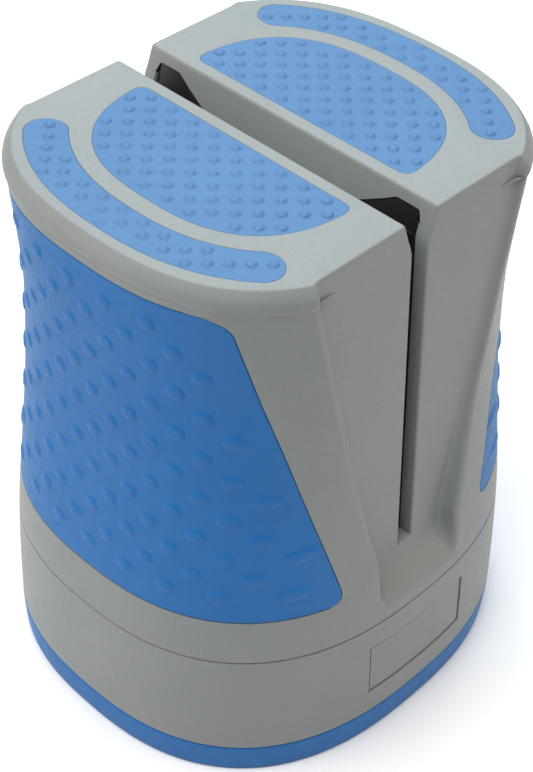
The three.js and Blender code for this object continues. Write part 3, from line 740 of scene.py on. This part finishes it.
def cap_mesh():
    """Rounded cap: loops up the sides, a flat top with two pad pockets, and a flat underside."""
    bm = bmesh.new()
    loops = [add_loop(bm, cap_outline(z, FLANGE["inset"], FLANGE["squeeze"]), z)
             for z in (FUNNEL_BOTTOM, LIP_BOTTOM - 0.02)]
    loops += [add_loop(bm, cap_outline(z, inset), z) for z, inset in RIM_PROFILE]
    for low, high in zip(loops[:-1], loops[1:]):
        bridge(bm, low, high)
    holes = []
    for shape in (dpad_loop, arc_loop):
        walls = [add_loop(bm, shape(grow), HEIGHT - drop) for grow, drop in
                 ((0.14, 0), (0.07, 0.02), (POCKET["gap"], 0.07), (POCKET["gap"], POCKET["deep"]))]
        for high, low in zip(walls[:-1], walls[1:]):
            bridge(bm, low, high)
        fill(bm, [walls[-1]])
        holes.append(walls[0])
    fill(bm, [loops[-1], *holes])
    fill(bm, [loops[0]])
    bmesh.ops.recalc_face_normals(bm, faces=bm.faces)
    mesh = bpy.data.meshes.new("cap")
    bm.to_mesh(mesh)
    bm.free()
    return mesh


def window_prism(side):
    """The opening in a funnel's slope through which the blade guide's ear shows."""
    low, knee_y, knee_z, rise, end, top = WINDOW.values()
    outline = [(low, FUNNEL_BOTTOM - 1), (low, FUNNEL_BOTTOM), (knee_y - 0.3, knee_z + 0.15),
               (rise - 0.4, top), (rise + 0.3, top + 0.25), (end - 0.2, top + 0.2), (end + 0.2, top - 0.1),
               (end + 1.1, LIP_BOTTOM), (end + 1.1, FUNNEL_BOTTOM - 1)]
    bm = bmesh.new()
    near, far = ([bm.verts.new((x, side * y, z)) for y, z in outline] for x in (0.5, 5.6))
    bridge(bm, near, far)
    bm.faces.new(near)
    bm.faces.new(far[::-1])
    bmesh.ops.recalc_face_normals(bm, faces=bm.faces)
    mesh = bpy.data.meshes.new("window")
    bm.to_mesh(mesh)
    bm.free()
    return mesh


def carved(mesh, cutters):
    """The mesh with other meshes cut out of it."""
    scene = bpy.context.scene
    body = bpy.data.objects.new("carved", mesh)
    scene.collection.objects.link(body)
    tools = []
    for number, cutter in enumerate(cutters):
        tool = bpy.data.objects.new(f"cutter_{number}", cutter)
        scene.collection.objects.link(tool)
        modifier = body.modifiers.new(f"cut_{number}", "BOOLEAN")
        modifier.operation, modifier.solver, modifier.object = "DIFFERENCE", "EXACT", tool
        tools.append(tool)
    result = bpy.data.meshes.new_from_object(body.evaluated_get(bpy.context.evaluated_depsgraph_get()))
    for thing in (body, *tools):
        bpy.data.objects.remove(thing)
    return result


def tower_cap():
    mesh = carved(cap_mesh(), [window_prism(1), window_prism(-1)])
    points = np.array([v.co for v in mesh.vertices])
    faces = [tuple(f.vertices) for f in mesh.polygons]
    both_sides("tower_cap", points, faces, GREY, "grey_shell", cad="tower_frame")


# ---------- palm and arc pads ----------
DOT = {"radius": 1.12, "high": 0.5}
PALM_DOTS = {"pitch": 4.38, "offset": 1.9}
ARC_DOTS = {"pitch": 4.05, "offset": 0.25}
DOT_ROOM = 1.4


def domes(x, y, pitch, offset, inside):
    """Height of the raised dots, on a square grid turned by 45 degrees to the slot."""
    p, q = (y - x) / math.sqrt(2), (-x - y) / math.sqrt(2)
    cp, cq = (np.round((v - offset) / pitch) * pitch + offset for v in (p, q))
    cx, cy = -(cp + cq) / math.sqrt(2), (cp - cq) / math.sqrt(2)
    rho = ((x - cx) ** 2 + (y - cy) ** 2) / DOT["radius"] ** 2
    return DOT["high"] * np.clip(1 - rho, 0, 1) ** 0.42 * inside(cx, cy)


def dpad_inside(x, y):
    room = DOT_ROOM
    half = DPAD["half_y"] - room
    reach = DPAD["out_x"] - DPAD["centre_x"] - room
    n = DPAD["squareness"]
    outer = DPAD["centre_x"] + reach * (1 - np.clip(np.abs(y) / half, 0, 1) ** n) ** (1 / n)
    return (x > DPAD["in_x"] + room) & (x < outer) & (np.abs(y) < half)


def arc_inside(x, y):
    n = ARCPAD["squareness"]
    room = DOT_ROOM

    def beyond(inset):
        return (np.abs(x) / (ARCPAD["half_width"] - inset)) ** n + (
            np.abs(y) / (ARCPAD["bulge"] - inset)) ** n > 1
    return beyond(ARCPAD["inner"] - room) & ~beyond(ARCPAD["outer"] + room) & (
        np.abs(y) < ARCPAD["tip_y"] - room) & (x > 0)


def pad_points(x, y, near, high):
    """Top and underside of a pad whose top carries dots and whose edges are rounded off."""
    z = HEIGHT - 0.03 - rounding(near, 0.12) + high
    top = np.stack([x, y, z], -1)
    under = np.stack([x, y, np.full_like(x, HEIGHT - POCKET["deep"] + 0.1)], -1)
    return np.stack([top, under])


def palm_pad():
    y, inner, outer = dpad_outline(0, 210)
    t = joined([0, 0.004, 0.012], steps(0.02, 0.98, 0.0115), [0.988, 0.996, 1.0], least=0.001)
    x = inner[:, None] + (outer - inner)[:, None] * t
    yy = np.broadcast_to(y[:, None], x.shape)
    near = np.minimum(np.minimum(x - inner[:, None], outer[:, None] - x), (np.abs(y[-1]) - np.abs(yy)))
    dots = domes(x, yy, **PALM_DOTS, inside=dpad_inside)
    faces = slab_faces(*x.shape)
    both_sides("palm_pad", pad_points(x, yy, near, dots), faces, PAD_BLUE_PAINTED_SHEEN, "blue_rubber", cad="palm_pad")


def arc_pad():
    angle, near_inset, far_inset = arc_edges(0, 330)
    t = joined([0, 0.012, 0.03], steps(0.06, 0.94, 0.035), [0.97, 0.988, 1.0], least=0.001)
    inset = near_inset[:, None] + (far_inset - near_inset)[:, None] * t
    shape = arc_points(angle[:, None], inset)
    x, y = shape[..., 0], shape[..., 1]
    near = np.minimum(inset - near_inset[:, None], far_inset[:, None] - inset)
    dots = domes(x, y, **ARC_DOTS, inside=arc_inside)
    faces = slab_faces(*x.shape)
    both_sides("arc_pad", pad_points(x, y, near, dots), faces, PAD_BLUE_PAINTED_SHEEN, "blue_rubber", cad="arc_pad")


# ---------- base ----------
def ring_points(profile, label=None, columns=260):
    """A ring that follows the body's outline; the profile is closed and gives inset and height."""
    inset, z = (np.array(v, float) for v in zip(*profile))
    flat_x = np.linspace(-24, 24, 49)
    if label is not None:
        flat_x = joined(flat_x[np.abs(np.abs(flat_x) - LABEL["half_x"]) > 0.9], label, -np.array(label))
    side_t = np.linspace(0, 1, columns)[1:-1]
    front = np.where(flat_x >= 0, -angle_at_x(np.abs(flat_x)[None, :], z[:, None]),
                     -math.pi + angle_at_x(np.abs(flat_x)[None, :], z[:, None]))
    sweep = front[:, -1:] + (2 * math.pi - (front[:, -1:] - front[:, :1])) * side_t
    angle = np.concatenate([front, sweep], axis=1)
    return angle, np.broadcast_to(inset[:, None], angle.shape), np.broadcast_to(z[:, None], angle.shape)


def lower_housing():
    low, high = FOOT_TOP + 0.12, PARTING - 0.1
    groove, half = LABEL["groove"], LABEL["half_x"]
    cuts = np.array([0, 0.04, groove - 0.04, groove])
    rows = joined(low + np.array([0, 0.08, 0.2, 0.35]), steps(low + 0.6, LABEL["low"] - 0.5, 1.0),
                  LABEL["low"] + cuts, steps(LABEL["low"] + 1.2, LABEL["high"] - 1.2, 1.1),
                  LABEL["high"] - cuts, steps(LABEL["high"] + 0.5, high - 0.6, 1.0),
                  high - np.array([0, 0.08, 0.2, 0.35]))
    edge = rounding(np.minimum(rows - low, high - rows), 0.3)
    outside = list(zip(edge, rows))
    inside = [(WALL + 0.4, high), (WALL + 0.4, low)]
    angle, inset, z = ring_points(outside + inside, label=half - cuts)
    shape = body_point(angle, inset, z)
    x = np.abs(shape[..., 0])
    near = np.minimum(half - x, np.minimum(z - LABEL["low"], LABEL["high"] - z))
    front = (shape[..., 1] < 0) & (near > -1e-6)
    front[len(rows):] = False
    sunk = np.where(near < 0.02, 0.0, np.where(near < groove - 0.02, LABEL["deep"], LABEL["sink"]))
    shape[..., 1] += np.where(front, sunk, 0)
    count_rows, columns = shape.shape[:2]
    faces = grid_faces(count_rows, columns, wrap_rows=True, wrap_columns=True)
    make_piece("lower_housing_shell", shape, faces, GREY, "grey_shell", replaces=["lower_housing"])


def foot_band():
    arc = np.linspace(0, math.pi / 2, 6)
    toe = [(0.9 - 0.9 * math.sin(t), 0.9 - 0.9 * math.cos(t)) for t in arc]
    side = [(0.0, z) for z in (2.2, 3.8, 5.4, 7.0)]
    shoulder = [(0.35 - 0.35 * math.cos(t), FOOT_TOP - 0.35 + 0.35 * math.sin(t)) for t in arc]
    profile = toe + side + shoulder + [(2.6, FOOT_TOP), (2.6, 3.1), (7, 3.1), (7, 0.0)]
    angle, inset, z = ring_points(profile)
    shape = body_point(angle, inset, z)
    faces = grid_faces(*shape.shape[:2], wrap_rows=True, wrap_columns=True)
    make_piece("foot_band_rubber", shape, faces, BLUE, "blue_rubber", replaces=["foot_band"])


# ---------- carriage springs ----------
def carriage_springs():
    """Coil springs, one at each end of the carriage, built at their full length."""
    radius, wire, low, high = (SPRING[k] for k in ("radius", "wire", "low", "high"))
    t = np.linspace(0, 1, 48 * SPRING["turns"] + 1)
    angle = 2 * math.pi * SPRING["turns"] * t
    side = np.stack([np.cos(angle), np.sin(angle), 0 * t], -1)
    centre = radius * side
    centre[:, 2] = low + wire + (high - low - 2 * wire) * t
    along = np.gradient(centre, axis=0)
    along /= np.linalg.norm(along, axis=-1, keepdims=True)
    phi = np.linspace(0, 2 * math.pi, 13)[:-1, None]
    rim = wire * (np.cos(phi) * side[:, None] + np.sin(phi) * np.cross(along, side)[:, None])
    rows, columns = len(t), len(phi)
    last = (rows - 1) * columns
    faces = grid_faces(rows, columns, wrap_columns=True).tolist()
    faces += [list(range(columns))[::-1], list(range(last, last + columns))]
    for end, y in (("front", -SPRING["y"]), ("back", SPRING["y"])):
        coil = make_piece(f"carriage_spring_coil_{end}", centre[:, None] + rim + [0, y, 0], faces,
                          SPRING_WIRE, "spring_steel", replaces=[f"carriage_spring_{end}"])
        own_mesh(coil)


side_shell()
side_grip()
end_panel()
guide_edge_painted_shade()
tower_cap()
palm_pad()
arc_pad()
lower_housing()
foot_band()
carriage_springs()


# ---------- CAD parts that stay ----------
def dress(prefix, material):
    for name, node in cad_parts.items():
        if name.startswith(prefix):
            node.data.materials.clear()
            node.data.materials.append(material)


for part in ("base_plate", "slot_liner", "chassis", "hone_carriage"):
    dress(part, BLACK)
dress("hone_rod", GRIT)
dress("hone_clip", ZINC)
for part in ("base_screw", "tower_screw", "chassis_screw"):
    dress(part, ZINC)
